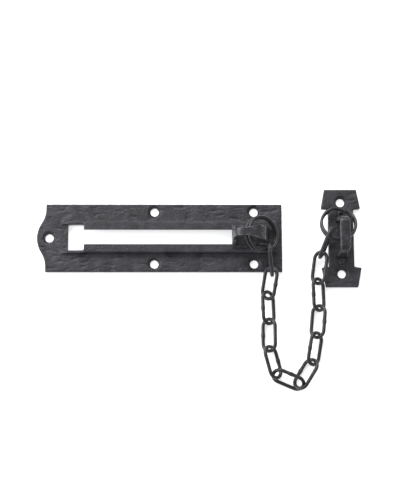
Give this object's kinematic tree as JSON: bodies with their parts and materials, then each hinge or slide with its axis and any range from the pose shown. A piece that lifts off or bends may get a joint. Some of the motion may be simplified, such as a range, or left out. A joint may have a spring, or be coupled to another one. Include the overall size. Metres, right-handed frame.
{
  "type": "door chain guard",
  "caption": "Black iron door chain guard: a slider in a raised slotted plate, joined by a link chain and split rings to a small keep plate with a staple.",
  "frame": {"origin": "centre of the slot plate's four-screw rectangle, on the plate's back face", "axes": "+X along the slot towards the keep, +Y across the plates, +Z out of the plates' faces"},
  "size_m": [0.2119, 0.1317, 0.0268],
  "materials": {
    "black_casting": "satin black lacquer over rough cast iron, worn a little at the edges",
    "black_slider": "smoother satin black lacquer, brighter on the edges",
    "black_ring_wire": "satin black lacquer on round wire",
    "black_chain_wire": "satin black lacquer on welded wire links",
    "black_rivet": "satin black lacquer"
  },
  "bodies": {
    "fixed_plates": {"slot_plate": "black_casting", "keep_plate": "black_casting", "keep_staple": "black_slider", "staple_rivet_upper": "black_rivet", "staple_rivet_lower": "black_rivet"},
    "slider": {"slider": "black_slider"},
    "slider_ring": {"slider_ring": "black_ring_wire"},
    "link_01": {"chain_link_01": "black_chain_wire"},
    "link_02": {"chain_link_02": "black_chain_wire"},
    "link_03": {"chain_link_03": "black_chain_wire"},
    "link_04": {"chain_link_04": "black_chain_wire"},
    "link_05": {"chain_link_05": "black_chain_wire"},
    "link_06": {"chain_link_06": "black_chain_wire"},
    "link_07": {"chain_link_07": "black_chain_wire"},
    "link_08": {"chain_link_08": "black_chain_wire"},
    "link_09": {"chain_link_09": "black_chain_wire"},
    "link_10": {"chain_link_10": "black_chain_wire"},
    "link_11": {"chain_link_11": "black_chain_wire"},
    "link_12": {"chain_link_12": "black_chain_wire"},
    "keep_ring": {"keep_ring": "black_ring_wire"}
  },
  "joints": [
    {"name": "slider_travel", "type": "slide", "parent": "fixed_plates", "child": "slider", "axis": [1, 0, 0], "range_m": [-0.104, 0]},
    {"name": "slider_ring_swing", "type": "hinge", "parent": "slider", "child": "slider_ring", "pos_m": [0.0406, 0, 0.012], "axis": [0, 0, 1], "range_deg": [-0.5, 18.9]},
    {"name": "link_01_swing", "type": "hinge", "parent": "slider_ring", "child": "link_01", "pos_m": [0.04135, -0.0096, 0.0139], "axis": [0, 0, 1], "range_deg": [-13.3, 0.5]},
    {"name": "link_02_swing", "type": "hinge", "parent": "link_01", "child": "link_02", "pos_m": [0.04323, -0.02296, 0.0086], "axis": [0, 0, 1], "range_deg": [-0.5, 45.7]},
    {"name": "link_03_swing", "type": "hinge", "parent": "link_02", "child": "link_03", "pos_m": [0.04084, -0.03804, 0.0045], "axis": [0, 0, 1], "range_deg": [-9.6, 0.5]},
    {"name": "link_04_swing", "type": "hinge", "parent": "link_03", "child": "link_04", "pos_m": [0.04143, -0.05488, 0.0045], "axis": [0, 0, 1], "range_deg": [-0.5, 5.5]},
    {"name": "link_05_swing", "type": "hinge", "parent": "link_04", "child": "link_05", "pos_m": [0.04143, -0.07248, 0.0045], "axis": [0, 0, 1], "range_deg": [-6.5, 0.5]},
    {"name": "link_06_swing", "type": "hinge", "parent": "link_05", "child": "link_06", "pos_m": [0.04582, -0.08885, 0.0045], "axis": [0, 0, 1], "range_deg": [-20.4, 0.5]},
    {"name": "link_07_swing", "type": "hinge", "parent": "link_06", "child": "link_07", "pos_m": [0.06045, -0.09506, 0.0045], "axis": [0, 0, 1], "range_deg": [-49.2, 0.5]},
    {"name": "link_08_swing", "type": "hinge", "parent": "link_07", "child": "link_08", "pos_m": [0.0692, -0.08107, 0.0045], "axis": [0, 0, 1], "range_deg": [-4.9, 0.5]},
    {"name": "link_09_swing", "type": "hinge", "parent": "link_08", "child": "link_09", "pos_m": [0.07224, -0.06378, 0.0045], "axis": [0, 0, 1], "range_deg": [-4, 0.5]},
    {"name": "link_10_swing", "type": "hinge", "parent": "link_09", "child": "link_10", "pos_m": [0.07393, -0.04632, 0.0045], "axis": [0, 0, 1], "range_deg": [-6.2, 0.5]},
    {"name": "link_11_swing", "type": "hinge", "parent": "link_10", "child": "link_11", "pos_m": [0.07347, -0.02882, 0.0045], "axis": [0, 0, 1], "range_deg": [-0.5, 7.4]},
    {"name": "link_12_swing", "type": "hinge", "parent": "link_11", "child": "link_12", "pos_m": [0.0757, -0.01187, 0.0068], "axis": [0, 0, 1], "range_deg": [-0.5, 11]},
    {"name": "keep_ring_swing", "type": "hinge", "parent": "link_12", "child": "keep_ring", "pos_m": [0.08073, 0.00123, 0.0135], "axis": [0, 0, 1], "range_deg": [-0.5, 12.7]}
  ],
  "couplings": [
    {"joint": "slider_ring_swing", "follows": "slider_travel", "rad_per_m": -3.081},
    {"joint": "link_01_swing", "follows": "slider_travel", "rad_per_m": 2.138},
    {"joint": "link_02_swing", "follows": "slider_travel", "rad_per_m": -7.584},
    {"joint": "link_03_swing", "follows": "slider_travel", "rad_per_m": 1.512},
    {"joint": "link_04_swing", "follows": "slider_travel", "rad_per_m": -0.828},
    {"joint": "link_05_swing", "follows": "slider_travel", "rad_per_m": 0.991},
    {"joint": "link_06_swing", "follows": "slider_travel", "rad_per_m": 3.33},
    {"joint": "link_07_swing", "follows": "slider_travel", "rad_per_m": 8.162},
    {"joint": "link_08_swing", "follows": "slider_travel", "rad_per_m": 0.728},
    {"joint": "link_09_swing", "follows": "slider_travel", "rad_per_m": 0.573},
    {"joint": "link_10_swing", "follows": "slider_travel", "rad_per_m": 0.955},
    {"joint": "link_11_swing", "follows": "slider_travel", "rad_per_m": -1.152},
    {"joint": "link_12_swing", "follows": "slider_travel", "rad_per_m": -1.754},
    {"joint": "keep_ring_swing", "follows": "slider_travel", "rad_per_m": -2.038}
  ]
}
